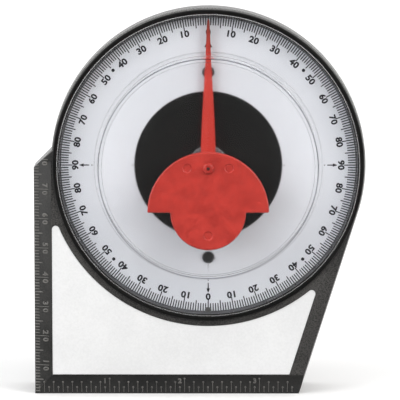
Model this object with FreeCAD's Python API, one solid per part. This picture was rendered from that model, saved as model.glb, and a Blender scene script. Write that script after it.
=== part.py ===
import FreeCAD, Part
import math
import os

os.makedirs("parts", exist_ok=True)

# Magnetic base angle finder, in millimetres. +Z is up, X runs along the base edge and the dial
# faces -Y. The origin lies on the base face, under the dial axis, half way through the housing.
# Depths are measured back from the front face of the rim round the dial.

# Housing outline
housing_depth = 25.0
drum_radius = 53.4
drum_above_base = 24.6
edge_beyond_drum = 5.4
front_draft = 0.45
rear_draft = 0.50
parting_depth = 12.0
slope_angle = math.radians(17.6)
shoulder_below_axis = 0.2
wall = 2.2

# Front of the housing
flat_depth = 0.8
rim_step = 0.45
rim_land = 1.55
left_strip = 5.9
bottom_strip = 6.65
bevel_depth = 2.8
floor_depth = 4.3
floor_thickness = 2.0
base_front_wall = 2.0

# Label in its pocket
label_gap_to_left_edge = 5.95
label_height_above_base = 6.75
label_gap_to_slope = 5.05
label_gap_to_drum = 1.0
label_corner_radius = 1.4
label_thickness = 0.3
label_pocket_depth = 0.5
label_clearance = 0.12

# Lens
lens_ledge = 1.05
lens_thickness = 1.6
lens_seat_depth = 1.0
lens_clearance = 0.1
dome_gap_to_rim = 12.75
dome_taper = 1.5
dome_height = 10.2
dome_top_thickness = 1.4
dome_wall = 1.2

# Dial card and what locates it
card_thickness = 0.4
card_clearance = 0.2
card_hole_radius = 24.95
peg_radius = 2.0
peg_gap_to_hole = 6.4
peg_rise = 0.6
peg_clearance = 0.05
pip_radius = 1.05
pip_gap_to_wall = 0.5
pip_rise = 0.9

# Pivot
flange_radius = 6.6
flange_thickness = 1.2
spigot_radius = 3.0
spigot_length = 5.0
shank_radius = 1.25
journal_radius = 0.75
dome_hole_radius = 0.55
axle_head_radius = 2.5
axle_head_thickness = 1.2
axle_boss_radius = 5.0
axle_boss_length = 5.7
fixed_fit = 0.02
running_fit = 0.05
end_float = 0.3

# Pendulum plate, with the half-round top and the smaller half-round bottom on one centre
plate_upper_radius = 20.3
plate_lower_radius = 12.6
plate_centre_drop = 14.85
plate_front_depth = -8.05
plate_thickness = 2.5
hub_dome_radius = 1.75
hub_dome_rise = 0.9
plate_hub_radius = 4.2
bush_seat_depth = 0.35

# Needle
needle_front_depth = 1.4
needle_thickness = 1.2
needle_ridge_slope = 0.2
needle_hub_radius = 4.5
needle_root_width = 5.1
needle_root = 3.8
needle_shoulder_width = 0.95
needle_point = 1.0
needle_tip_width = 0.3
needle_tip_gap = 0.6

# Brass bush and ballast
bush_radius = 2.0
ballast_radius = 9.0
ballast_thickness = 4.0
ballast_drop = 17.0
ballast_post_radius = 1.5

# Magnets and pole plates in the base
base_floor = 5.0
magnet_length = 30.0
magnet_width = 8.6
magnet_height = 6.0
magnet_gap = 2.0
magnet_side_gap = 0.05
magnet_shift = -2.5
magnet_middle_y = 1.4
pole_thickness = 2.0
pole_recess = 0.1
pole_margin = 1.0
holder_wall = 1.2

# Rear cover and its screws
cover_thickness = 2.5
cover_inset = 1.0
cover_clearance = 0.12
screw_shank_radius = 1.25
screw_head_radius = 2.3
screw_head_thickness = 1.4
screw_length = 9.0
screw_hole_clearance = 0.25
counterbore_clearance = 0.3
counterbore_depth = 1.5
boss_radius = 3.4
drum_boss_inset = 5.0
low_boss_height = 18.0
boss_to_wall = 2.9

# Room that a cutting body keeps past the surfaces it cuts
over = 2.0

front_y = -housing_depth / 2
axis_height = drum_above_base + drum_radius
rim_radius = drum_radius - front_draft - rim_step
lens_radius = rim_radius - rim_land
drum_bore_radius = lens_radius - lens_ledge
label_arc_radius = drum_radius + label_gap_to_drum
dome_foot_radius = lens_radius - dome_gap_to_rim
dome_front_radius = dome_foot_radius - dome_taper
peg_spacing = card_hole_radius + peg_gap_to_hole
pip_offset = drum_bore_radius - pip_gap_to_wall
needle_tip = drum_bore_radius - needle_tip_gap
needle_shoulder = needle_tip - needle_point
card_front = floor_depth - card_thickness
flange_front = floor_depth - flange_thickness
lens_back = lens_seat_depth
lens_front = lens_back - lens_thickness
dome_front = lens_front - dome_height
dome_inside = dome_front + dome_top_thickness
plate_back_depth = plate_front_depth + plate_thickness
bush_back = flange_front - end_float
bush_front = plate_back_depth + bush_seat_depth - plate_thickness / 2
needle_back_depth = needle_front_depth + needle_thickness
floor_back = floor_depth + floor_thickness
cover_depth = housing_depth - cover_thickness
tan_slope = math.tan(slope_angle)
sin_slope = math.sin(slope_angle)
cos_slope = math.cos(slope_angle)


def slope_x(distance, height):
    """X of the sloping side at a height, for a line that passes the dial axis at a distance."""
    return (distance - (axis_height - height) * sin_slope) / cos_slope


left_x = -drum_radius - edge_beyond_drum
base_end_x = slope_x(drum_radius, 0.0)
magnet_middle_x = (left_x + base_end_x) / 2 + magnet_shift


def vec(x, depth, z):
    return FreeCAD.Vector(x, front_y + depth, z)


def disc(radius, depth_from, depth_to, x=0.0, z=axis_height):
    """Round bar along Y between two depths."""
    along = FreeCAD.Vector(0, 1, 0)
    return Part.makeCylinder(radius, depth_to - depth_from, vec(x, depth_from, z), along)


def block(x_from, x_to, depth_from, depth_to, z_from, z_to):
    """Box between two corners."""
    corner = vec(x_from, depth_from, z_from)
    return Part.makeBox(x_to - x_from, depth_to - depth_from, z_to - z_from, corner)


def turned(profile, x=0.0, z=axis_height):
    """Solid of revolution about an axis along Y, from (radius, depth) points."""
    points = [vec(x + radius, depth, z) for radius, depth in profile]
    face = Part.Face(Part.makePolygon(points + [points[0]]))
    return face.revolve(vec(x, 0, z), FreeCAD.Vector(0, 1, 0), 360)


def base_outline(radius, inset, draft, depth):
    """Corners of the base at one depth, from the slope's tangent point round to the dial axis."""
    left = left_x + inset
    tangent_z = axis_height - radius * sin_slope
    shoulder_reach = left_x + shoulder_below_axis + (inset + draft) * math.sqrt(2)
    return [
        vec(slope_x(radius, tangent_z), depth, tangent_z),
        vec(slope_x(radius, inset), depth, inset),
        vec(left, depth, inset),
        vec(left, depth, axis_height + left - shoulder_reach),
        vec(shoulder_reach / 2, depth, axis_height - shoulder_reach / 2),
        vec(0, depth, axis_height),
    ]


def straight_solid(near, far):
    """Solid with plane sides between two rings of corners whose sides are parallel."""
    faces = []
    for start in range(len(near)):
        end = (start + 1) % len(near)
        corners = [near[start], near[end], far[end], far[start], near[start]]
        faces.append(Part.Face(Part.makePolygon(corners)))
    for ring in (near, far):
        faces.append(Part.Face(Part.makePolygon(ring + [ring[0]])))
    solid = Part.Solid(Part.Shell(faces))
    if solid.Volume < 0:
        solid.reverse()
    return solid


def housing_solid(inset, draft_from, draft_to, depth_from, depth_to):
    """Drum and base between two depths, moved inward. Draft spares the two working edges."""
    radius_from = drum_radius - draft_from - inset
    radius_to = drum_radius - draft_to - inset
    near = base_outline(radius_from, inset, draft_from, depth_from)
    far = base_outline(radius_to, inset, draft_to, depth_to)
    base = straight_solid(near, far)
    along = FreeCAD.Vector(0, 1, 0)
    if abs(radius_from - radius_to) < 0.001:
        drum = disc(radius_from, depth_from, depth_to)
    else:
        axis_start = vec(0, depth_from, axis_height)
        drum = Part.makeCone(radius_from, radius_to, depth_to - depth_from, axis_start, along)
    return drum.fuse(base).removeSplitter()


def housing_slab(inset, depth_from, depth_to):
    """Straight slab with the housing's outline, moved inward by an inset."""
    return housing_solid(inset, rear_draft, rear_draft, depth_from, depth_to)


def label_slab(gap, depth_from, depth_to):
    """Slab with the label's outline, moved inward by a gap."""
    left = left_x + label_gap_to_left_edge + gap
    low = label_height_above_base + gap
    side = drum_radius - front_draft - label_gap_to_slope - gap
    points = [
        vec(left, depth_from, low),
        vec(slope_x(side, low), depth_from, low),
        vec(slope_x(side, axis_height), depth_from, axis_height),
        vec(left, depth_from, axis_height),
    ]
    face = Part.Face(Part.makePolygon(points + [points[0]]))
    slab = face.extrude(FreeCAD.Vector(0, depth_to - depth_from, 0))
    slab = slab.cut(disc(label_arc_radius + gap, depth_from - over, depth_to + over))
    slab = max(slab.Solids, key=lambda solid: solid.Volume)
    tips = []
    for edge in slab.Edges:
        box = edge.BoundBox
        on_arc = abs(math.hypot(box.XMin, box.ZMin - axis_height) - label_arc_radius - gap) < 0.01
        if box.YLength > 0.9 * (depth_to - depth_from) and box.XLength < 0.01 and on_arc:
            tips.append(edge)
    return slab.makeFillet(label_corner_radius - gap, tips)


def screw_places():
    """Centres of the rear cover's screws."""
    inner_side = drum_radius - rear_draft - wall - boss_to_wall
    return [
        (0.0, axis_height + drum_radius - drum_boss_inset),
        (left_x + wall + boss_to_wall, low_boss_height),
        (slope_x(inner_side, low_boss_height), low_boss_height),
    ]


def pole_ends():
    """X range of the two pole plates."""
    half = magnet_length + magnet_gap / 2 + pole_margin
    return magnet_middle_x - half, magnet_middle_x + half


def pole_depths(side):
    """Depth range of the front (-1) or rear (1) pole plate."""
    middle = magnet_middle_y - front_y
    near = middle + side * (magnet_width / 2 + magnet_side_gap)
    far = near + side * pole_thickness
    return min(near, far), max(near, far)


def magnet_holder():
    """Walls on the base floor that hold the magnets and the pole plates."""
    x_from, x_to = pole_ends()
    front = pole_depths(-1)[0] - magnet_side_gap
    rear = pole_depths(1)[1] + magnet_side_gap
    z_from = base_floor - 0.5
    z_to = base_floor + magnet_height
    x_low = x_from - magnet_side_gap
    x_high = x_to + magnet_side_gap
    near = front - holder_wall
    far = rear + holder_wall
    walls = block(x_low - holder_wall, x_high + holder_wall, near, far, z_from, z_to)
    walls = walls.cut(block(x_low, x_high, front, rear, z_from - over, z_to + over))
    half_gap = magnet_gap / 2 - magnet_side_gap
    divider = block(
        magnet_middle_x - half_gap,
        magnet_middle_x + half_gap,
        pole_depths(-1)[1] + magnet_side_gap,
        pole_depths(1)[0] - magnet_side_gap,
        z_from,
        z_to,
    )
    return walls.fuse(divider)


def make_housing():
    """Moulded body: drum, base, bevelled ruler edges, rim, floor, bosses and magnet walls."""
    body = housing_solid(0.0, front_draft, 0.0, flat_depth, parting_depth)
    body = body.fuse(housing_solid(0.0, 0.0, rear_draft, parting_depth, housing_depth)).removeSplitter()

    left_wedge_points = [
        vec(left_x, bevel_depth, -over),
        vec(left_x + left_strip, flat_depth, -over),
        vec(left_x + left_strip, -over, -over),
        vec(left_x - over, -over, -over),
        vec(left_x - over, bevel_depth, -over),
    ]
    left_wedge = Part.Face(Part.makePolygon(left_wedge_points + [left_wedge_points[0]]))
    left_wedge = left_wedge.extrude(FreeCAD.Vector(0, 0, axis_height + 2 * over))
    low_wedge_points = [
        vec(left_x - over, bevel_depth, 0),
        vec(left_x - over, flat_depth, bottom_strip),
        vec(left_x - over, -over, bottom_strip),
        vec(left_x - over, -over, -over),
        vec(left_x - over, bevel_depth, -over),
    ]
    low_wedge = Part.Face(Part.makePolygon(low_wedge_points + [low_wedge_points[0]]))
    low_wedge = low_wedge.extrude(FreeCAD.Vector(base_end_x - left_x + 2 * over, 0, 0))
    keep_drum = disc(drum_radius - front_draft, -2 * over, bevel_depth + over)
    body = body.cut(left_wedge.cut(keep_drum)).cut(low_wedge)

    body = body.fuse(disc(rim_radius, 0.0, flat_depth + over))
    body = body.cut(label_slab(0.0, flat_depth - over, flat_depth + label_pocket_depth))
    body = body.cut(disc(lens_radius + lens_clearance, -over, lens_seat_depth))
    body = body.cut(disc(drum_bore_radius, -over, floor_depth))

    cavity = housing_slab(wall, flat_depth + label_pocket_depth + base_front_wall, cover_depth)
    cavity = cavity.cut(disc(drum_bore_radius + wall, 0.0, floor_back))
    low_cavity = block(left_x - over, base_end_x + over, 0.0, housing_depth, -over, base_floor)
    body = body.cut(cavity.cut(low_cavity))
    body = body.cut(housing_slab(cover_inset, cover_depth, housing_depth + over))

    for x, z in screw_places():
        body = body.fuse(disc(boss_radius, floor_back - 0.5, cover_depth, x, z))
    body = body.fuse(disc(axle_boss_radius, floor_back - 0.5, floor_back + axle_boss_length))
    for side in (-1, 1):
        peg_front = card_front - peg_rise
        peg_z = axis_height + side * peg_spacing
        body = body.fuse(disc(peg_radius, peg_front, floor_depth + 0.5, 0.0, peg_z))
    pip_z = axis_height - pip_offset
    body = body.fuse(disc(pip_radius, card_front - pip_rise, floor_depth + 0.5, 0.0, pip_z))
    body = body.fuse(magnet_holder())

    for x, z in screw_places():
        hole = screw_shank_radius + fixed_fit
        body = body.cut(disc(hole, cover_depth - screw_length, cover_depth + over, x, z))
    spigot_end = floor_depth + spigot_length
    body = body.cut(disc(spigot_radius + fixed_fit, floor_depth - over, spigot_end))
    body = body.cut(disc(shank_radius + fixed_fit, floor_depth, floor_back + axle_boss_length + over))
    x_from, x_to = pole_ends()
    for side in (-1, 1):
        depth_from, depth_to = pole_depths(side)
        slot = block(
            x_from - magnet_side_gap,
            x_to + magnet_side_gap,
            depth_from - magnet_side_gap,
            depth_to + magnet_side_gap,
            -over,
            base_floor + magnet_height,
        )
        body = body.cut(slot)
    return body.removeSplitter()


def make_rear_cover():
    """Flat plate let into the back, with counterbored screw holes."""
    inset = cover_inset + cover_clearance
    cover = housing_slab(inset, cover_depth, housing_depth)
    for x, z in screw_places():
        hole = screw_shank_radius + screw_hole_clearance
        cover = cover.cut(disc(hole, cover_depth - over, housing_depth + over, x, z))
        seat = screw_head_radius + counterbore_clearance
        cover = cover.cut(disc(seat, housing_depth - counterbore_depth, housing_depth + over, x, z))
    return cover


def make_cover_screw(x, z):
    """Flat-headed screw, seated in the cover's counterbore."""
    seat = housing_depth - counterbore_depth
    top = seat + screw_head_thickness
    head = disc(screw_head_radius, seat, top, x, z)
    tip = seat - screw_length + cover_thickness - counterbore_depth
    return head.fuse(disc(screw_shank_radius, tip, seat, x, z)).removeSplitter()


def make_lens():
    """Clear cover: a flat ring over the scale and a raised middle with a drafted side."""
    inner_top = dome_front_radius - dome_wall
    inner_foot = dome_foot_radius - dome_wall
    profile = [
        (0.0, dome_front),
        (dome_front_radius, dome_front),
        (dome_foot_radius, lens_front),
        (lens_radius, lens_front),
        (lens_radius, lens_back),
        (inner_foot, lens_back),
        (inner_top, dome_inside),
        (0.0, dome_inside),
    ]
    return turned(profile)


def make_dial_card():
    """Thin round card with the middle hole, two peg holes and the hole for the pip."""
    card = disc(drum_bore_radius - card_clearance, card_front, floor_depth)
    card = card.cut(disc(card_hole_radius, card_front - over, floor_depth + over))
    for side in (-1, 1):
        hole_z = axis_height + side * peg_spacing
        card = card.cut(disc(peg_radius + peg_clearance, card_front - over, floor_depth + over, 0.0, hole_z))
    notch = pip_radius + peg_clearance
    return card.cut(disc(notch, card_front - over, floor_depth + over, 0.0, axis_height - pip_offset))


def make_base_label():
    """Thin plate on the floor of the label pocket."""
    back = flat_depth + label_pocket_depth
    return label_slab(label_clearance, back - label_thickness, back)


def make_axle_flange():
    """Flanged bearing block pressed into the dial floor."""
    bore = shank_radius + fixed_fit
    profile = [
        (bore, flange_front),
        (flange_radius, flange_front),
        (flange_radius, floor_depth),
        (spigot_radius, floor_depth),
        (spigot_radius, floor_depth + spigot_length),
        (bore, floor_depth + spigot_length),
    ]
    return turned(profile)


def make_pivot_axle():
    """Stepped steel pin, with its head behind the boss and its thin end in the plate."""
    boss_back = floor_back + axle_boss_length
    journal_end = plate_front_depth + plate_thickness / 4
    profile = [
        (0.0, journal_end),
        (journal_radius, journal_end),
        (journal_radius, flange_front),
        (shank_radius, flange_front),
        (shank_radius, boss_back),
        (axle_head_radius, boss_back),
        (axle_head_radius, boss_back + axle_head_thickness),
        (0.0, boss_back + axle_head_thickness),
    ]
    return turned(profile)


def make_hub_bush():
    """Brass tube that carries plate and needle on the pin."""
    bush = disc(bush_radius, bush_front, bush_back)
    return bush.cut(disc(journal_radius + running_fit, bush_front - over, bush_back + over))


def make_pendulum_plate():
    """Red plate with its pivot dome in front, and the bush hub and the ballast post behind."""
    centre_z = axis_height - plate_centre_drop
    reach = plate_upper_radius + over
    upper = disc(plate_upper_radius, plate_front_depth, plate_back_depth, 0.0, centre_z)
    near = plate_front_depth - over
    far = plate_back_depth + over
    lower_half = block(-reach, reach, near, far, centre_z - reach, centre_z)
    upper = upper.cut(lower_half)
    plate = upper.fuse(disc(plate_lower_radius, plate_front_depth, plate_back_depth, 0.0, centre_z))
    plate = plate.removeSplitter()

    dome_tip = plate_front_depth - hub_dome_rise
    plate = plate.fuse(disc(hub_dome_radius, dome_tip, plate_front_depth + plate_thickness / 2))
    plate = plate.fuse(disc(plate_hub_radius, plate_back_depth - 0.5, needle_front_depth))
    post_end = plate_back_depth + ballast_thickness
    post_z = axis_height - ballast_drop
    plate = plate.fuse(disc(ballast_post_radius, plate_back_depth - 0.5, post_end, 0.0, post_z))

    journal_room = plate_front_depth + plate_thickness / 4 - end_float
    plate = plate.cut(disc(bush_radius + fixed_fit, bush_front, needle_front_depth + over))
    plate = plate.cut(disc(journal_radius + running_fit, journal_room, bush_front + over))
    plate = plate.cut(disc(dome_hole_radius, dome_tip - over, journal_room + over))
    return plate.removeSplitter()


def needle_section(width, height):
    """Corners of the needle's five-sided cross-section at a height above the dial axis."""
    half = width / 2
    shoulder = needle_front_depth + needle_ridge_slope * half
    z = axis_height + height
    return [
        vec(-half, needle_back_depth, z),
        vec(half, needle_back_depth, z),
        vec(half, shoulder, z),
        vec(0, needle_front_depth, z),
        vec(-half, shoulder, z),
    ]


def make_pointer_needle():
    """Red needle with a ridge along its front, and a hub on the bush."""
    sections = [
        needle_section(needle_root_width, needle_root),
        needle_section(needle_shoulder_width, needle_shoulder),
        needle_section(needle_tip_width, needle_tip),
    ]
    needle = disc(needle_hub_radius, needle_front_depth, needle_back_depth)
    for near, far in zip(sections, sections[1:]):
        needle = needle.fuse(straight_solid(near, far))
    hole = disc(bush_radius + fixed_fit, needle_front_depth - over, needle_back_depth + over)
    return needle.cut(hole).removeSplitter()


def make_ballast():
    """Steel slug staked to the back of the plate."""
    back = plate_back_depth + ballast_thickness
    z = axis_height - ballast_drop
    slug = disc(ballast_radius, plate_back_depth, back, 0.0, z)
    hole = ballast_post_radius + fixed_fit
    return slug.cut(disc(hole, plate_back_depth - over, back + over, 0.0, z))


def make_magnet(side):
    """Bar magnet on the base floor, left (-1) or right (1) of the divider."""
    near = magnet_middle_x + side * magnet_gap / 2
    far = near + side * magnet_length
    middle = magnet_middle_y - front_y
    depth_from = middle - magnet_width / 2
    depth_to = middle + magnet_width / 2
    top = base_floor + magnet_height
    return block(min(near, far), max(near, far), depth_from, depth_to, base_floor, top)


def make_pole_plate(side):
    """Steel strip that reaches from the magnets down to the base face."""
    x_from, x_to = pole_ends()
    depth_from, depth_to = pole_depths(side)
    return block(x_from, x_to, depth_from, depth_to, pole_recess, base_floor + magnet_height)


def all_pieces():
    pieces = {
        "housing_shell": make_housing(),
        "rear_cover": make_rear_cover(),
        "lens_cover": make_lens(),
        "dial_card": make_dial_card(),
        "base_label": make_base_label(),
        "axle_flange": make_axle_flange(),
        "pivot_axle": make_pivot_axle(),
        "hub_bush": make_hub_bush(),
        "pendulum_plate": make_pendulum_plate(),
        "pointer_needle": make_pointer_needle(),
        "ballast_weight": make_ballast(),
        "base_magnet_1": make_magnet(-1),
        "base_magnet_2": make_magnet(1),
        "pole_plate_front": make_pole_plate(-1),
        "pole_plate_rear": make_pole_plate(1),
    }
    for number, (x, z) in enumerate(screw_places(), 1):
        pieces[f"cover_screw_{number}"] = make_cover_screw(x, z)
    return pieces


for name, shape in all_pieces().items():
    solids = shape.Solids
    if len(solids) != 1:
        raise ValueError(f"{name} has {len(solids)} solids")
    solids[0].exportStep(f"parts/{name}.step")
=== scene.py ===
import math

import bmesh
import bpy
from mathutils import Matrix, Vector


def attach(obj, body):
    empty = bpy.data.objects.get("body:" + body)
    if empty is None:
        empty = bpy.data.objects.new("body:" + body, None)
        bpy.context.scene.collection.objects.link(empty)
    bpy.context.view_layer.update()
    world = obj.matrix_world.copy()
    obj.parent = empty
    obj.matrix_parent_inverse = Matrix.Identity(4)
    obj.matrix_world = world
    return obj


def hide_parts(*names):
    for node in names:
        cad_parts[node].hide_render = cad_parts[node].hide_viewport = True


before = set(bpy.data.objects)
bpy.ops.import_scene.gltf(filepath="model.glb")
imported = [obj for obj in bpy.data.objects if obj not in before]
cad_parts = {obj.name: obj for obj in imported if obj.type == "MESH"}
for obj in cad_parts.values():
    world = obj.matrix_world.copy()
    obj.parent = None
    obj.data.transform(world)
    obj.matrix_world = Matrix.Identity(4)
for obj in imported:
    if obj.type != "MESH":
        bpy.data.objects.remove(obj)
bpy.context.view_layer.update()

# Housing shell: one black moulding, a round drum above a right-angled base. Its front has two bevelled
# ruler edges, a smooth raised rim round the dial and a shallow label pocket. Its flats are finely grained.
# Meshes are made in millimetres. Depths are measured back from the rim's face, as in the CAD.
MILLIMETRE = 0.001
FRONT_Y = -12.5
HOUSING_DEPTH = 25.0
PARTING_DEPTH = 12.0
AXIS_HEIGHT = 78.0
DRUM_RADIUS = 53.4
LEFT_X = -58.8
SLOPE = math.radians(17.6)
SHOULDER_BELOW_AXIS = 0.2
FRONT_DRAFT = 0.45
REAR_DRAFT = 0.50
WALL = 2.2
FLAT_DEPTH = 0.8
RIM_RADIUS = 52.5
RIM_ROUND = 0.5
LEFT_STRIP = 5.9
BOTTOM_STRIP = 6.65
BEVEL_DEPTH = 2.8
LENS_RADIUS = 50.95
LENS_SEAT_DEPTH = 1.0
WELL_FRONT_RADIUS = 50.4
WELL_BACK_RADIUS = 49.75
FLOOR_DEPTH = 4.3
FLOOR_BACK = 6.3
BASE_FLOOR = 5.0
LABEL_POCKET_DEPTH = 0.5
LABEL_LEFT = 5.95
LABEL_LOW = 6.75
LABEL_RIGHT = 5.05
LABEL_ARC_GAP = 1.0
LABEL_TIP_ROUND = 1.4
COVER_DEPTH = 22.5
COVER_INSET = 1.0
SCREW_PLACES = [(0.0, 126.4), (-53.7, 18.0), (31.11, 18.0)]
POST_RADIUS = 3.4
PILOT_RADIUS = 1.27
PILOT_START = 13.5
BOSS_RADIUS = 5.0
BOSS_REACH = 5.7
STEM_BACK = 9.3
STEM_HOLE_RADIUS = 3.02
PIN_BACK = 14
POLE_X = (-48.26, 15.74)
POLE_DEPTHS = ((7.55, 9.55), (18.25, 20.25))
POLE_GAP = 0.05
POLE_SLOT_TOP = 11.5
HOLDER_WALL = 1.25
HOLDER_TOP = 11


def at(x, depth, z):
    """Point in millimetres from its depth behind the rim's face."""
    return Vector((x, FRONT_Y + depth, z))


def slope_x(distance, height):
    """X of the sloping side for a line that passes the dial axis at a distance."""
    return (distance - (AXIS_HEIGHT - height) * math.sin(SLOPE)) / math.cos(SLOPE)


def housing_ring(inset, draft, depth, arc_steps=180):
    """Outline of the housing at one depth, moved inward. Draft spares the two working edges."""
    radius = DRUM_RADIUS - draft - inset
    left = LEFT_X + inset
    reach = LEFT_X + SHOULDER_BELOW_AXIS + (inset + draft) * math.sqrt(2)
    meet_x = (reach - math.sqrt(2 * radius ** 2 - reach ** 2)) / 2
    meet_angle = math.atan2(meet_x - reach, meet_x)
    ring = [
        at(slope_x(radius, inset), depth, inset),
        at(left, depth, inset),
        at(left, depth, AXIS_HEIGHT + left - reach),
    ]
    start, end = meet_angle, -SLOPE
    for step in range(arc_steps + 1):
        turn = start + (end - start) * step / arc_steps
        ring.append(at(radius * math.cos(turn), depth, AXIS_HEIGHT + radius * math.sin(turn)))
    return ring


def work_object(mesh_data):
    """Scene object for a bmesh that is still in the making."""
    bmesh.ops.recalc_face_normals(mesh_data, faces=mesh_data.faces)
    mesh = bpy.data.meshes.new("work")
    mesh_data.to_mesh(mesh)
    mesh_data.free()
    made = bpy.data.objects.new("work", mesh)
    bpy.context.scene.collection.objects.link(made)
    return made


def loft(rings):
    """Closed body through rings of points, with flat ends."""
    body = bmesh.new()
    rows = [[body.verts.new(point) for point in ring] for ring in rings]
    for near, far in zip(rows, rows[1:]):
        for start in range(len(near)):
            end = (start + 1) % len(near)
            body.faces.new((near[start], near[end], far[end], far[start]))
    body.faces.new(rows[0])
    body.faces.new(rows[-1])
    return work_object(body)


def prism(corners, depth_from, depth_to):
    """Straight body with (x, z) corners between two depths."""
    return loft([[at(x, depth, z) for x, z in corners] for depth in (depth_from, depth_to)])


def rectangle(left, right, low, high):
    """Corners of an upright rectangle, as (x, z)."""
    return [(left, low), (right, low), (right, high), (left, high)]


def lathe(profile, x=0.0, z=AXIS_HEIGHT, steps=192, closed=False):
    """Body turned about an axis along Y from (radius, depth) points."""
    body = bmesh.new()
    rows = []
    for radius, depth in profile:
        if radius < 1e-6:
            rows.append([body.verts.new(at(x, depth, z))])
            continue
        row = []
        for step in range(steps):
            turn = 2 * math.pi * step / steps
            row.append(body.verts.new(at(x + radius * math.cos(turn), depth, z + radius * math.sin(turn))))
        rows.append(row)
    pairs = list(zip(rows, rows[1:]))
    if closed:
        pairs.append((rows[-1], rows[0]))
    for near, far in pairs:
        for start in range(steps):
            end = (start + 1) % steps
            if len(near) == 1:
                body.faces.new((near[0], far[end], far[start]))
            elif len(far) == 1:
                body.faces.new((near[start], near[end], far[0]))
            else:
                body.faces.new((near[start], near[end], far[end], far[start]))
    return work_object(body)


def disc(radius, depth_from, depth_to, x=0.0, z=AXIS_HEIGHT, steps=192):
    """Round bar along Y between two depths."""
    return lathe([(0, depth_from), (radius, depth_from), (radius, depth_to), (0, depth_to)], x, z, steps)


def rounded(points, radii, steps=5):
    """Open line of (radius, depth) points whose corners are rounded, each with its own radius."""
    line = [points[0]]
    for index in range(1, len(points) - 1):
        here = Vector(points[index])
        before = (Vector(points[index - 1]) - here).normalized()
        after = (Vector(points[index + 1]) - here).normalized()
        radius = radii[index]
        if not radius:
            line.append(points[index])
            continue
        half = before.angle(after) / 2
        reach = radius / math.tan(half)
        centre = here + (before + after).normalized() * (radius / math.sin(half))
        first = here + before * reach - centre
        last = here + after * reach - centre
        sweep = first.angle_signed(last)
        for step in range(steps + 1):
            turned = first.copy()
            turned.rotate(Matrix.Rotation(-sweep * step / steps, 2))
            line.append(tuple(centre + turned))
    line.append(points[-1])
    return line


def settle(work):
    """Replaces an object's mesh by the result of its modifiers."""
    graph = bpy.context.evaluated_depsgraph_get()
    result = bpy.data.meshes.new_from_object(work.evaluated_get(graph))
    work.modifiers.clear()
    work.data = result
    return work


def carve(work, tool, operation="DIFFERENCE"):
    """Cuts the tool from the work, or joins it on, and clears the tool away."""
    step = work.modifiers.new("carve", "BOOLEAN")
    step.operation = operation
    step.solver = "EXACT"
    step.object = tool
    settle(work)
    bpy.data.objects.remove(tool)
    return work


def round_edges(work, width, steps=3, angle=25.0):
    """Rounds the sharp edges and leaves the flats flat in the shading."""
    flat = bmesh.new()
    flat.from_mesh(work.data)
    bmesh.ops.remove_doubles(flat, verts=flat.verts, dist=0.002)
    bmesh.ops.dissolve_limit(flat, angle_limit=math.radians(0.4), verts=flat.verts, edges=flat.edges)
    flat.to_mesh(work.data)
    flat.free()
    bevel = work.modifiers.new("edges", "BEVEL")
    bevel.width = width
    bevel.segments = steps
    bevel.limit_method = "ANGLE"
    bevel.angle_limit = math.radians(angle)
    bevel.miter_outer = "MITER_ARC"
    return work


def finish_piece(work, name, materials, body, stands_for=()):
    """Brings a work object to metres, smooths its shading, and hands it to its body."""
    for face in work.data.polygons:
        face.use_smooth = True
    weigh = work.modifiers.new("normals", "WEIGHTED_NORMAL")
    weigh.keep_sharp = True
    settle(work)
    work.data.transform(Matrix.Scale(MILLIMETRE, 4))
    work.name = work.data.name = name
    work.data.materials.clear()
    for material in materials:
        work.data.materials.append(material)
    if stands_for:
        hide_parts(*stands_for)
    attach(work, body)
    return work


def new_group(name, inputs, outputs):
    """Empty shader node group with float or vector inputs and float outputs."""
    group = bpy.data.node_groups.new(name, "ShaderNodeTree")
    for socket, kind in inputs:
        group.interface.new_socket(socket, in_out="INPUT", socket_type=kind)
    for socket in outputs:
        group.interface.new_socket(socket, in_out="OUTPUT", socket_type="NodeSocketFloat")
    return group, group.nodes.new("NodeGroupInput"), group.nodes.new("NodeGroupOutput")


def noise(tree, vector, scale, detail=2.0, roughness=0.5):
    """Noise texture on a vector socket. The scale is a number or a socket."""
    node = tree.nodes.new("ShaderNodeTexNoise")
    node.inputs["Detail"].default_value = detail
    node.inputs["Roughness"].default_value = roughness
    tree.links.new(vector, node.inputs["Vector"])
    if isinstance(scale, (int, float)):
        node.inputs["Scale"].default_value = scale
    else:
        tree.links.new(scale, node.inputs["Scale"])
    return node.outputs["Fac"]


def maths(tree, operation, first, second=None, third=None):
    """Maths node on sockets or numbers."""
    node = tree.nodes.new("ShaderNodeMath")
    node.operation = operation
    for index, value in enumerate((first, second, third)):
        if value is None:
            continue
        if isinstance(value, (int, float)):
            node.inputs[index].default_value = value
        else:
            tree.links.new(value, node.inputs[index])
    return node.outputs[0]


def build_moulded_grain():
    """Fine grain of a moulded surface: a height for the bump, and a slow cloudiness of its tone."""
    group, entry, leave = new_group(
        "moulded grain",
        [("Vector", "NodeSocketVector"), ("Grain", "NodeSocketFloat"), ("Cloud", "NodeSocketFloat"),
         ("Speck", "NodeSocketFloat")],
        ["Height", "Tone"],
    )
    grain = noise(group, entry.outputs["Vector"], entry.outputs["Grain"], 3.0, 0.6)
    cloud = noise(group, entry.outputs["Vector"], entry.outputs["Cloud"], 3.0, 0.55)
    speck = maths(group, "MULTIPLY", maths(group, "SUBTRACT", grain, 0.5), entry.outputs["Speck"])
    tone = maths(group, "ADD", cloud, speck)
    group.links.new(grain, leave.inputs["Height"])
    group.links.new(tone, leave.inputs["Tone"])
    return group


moulded_grain = build_moulded_grain()


def new_material(name):
    """Material with its node tree and its main shader."""
    material = bpy.data.materials.new(name)
    material.use_nodes = True
    return material, material.node_tree, material.node_tree.nodes["Principled BSDF"]


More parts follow.
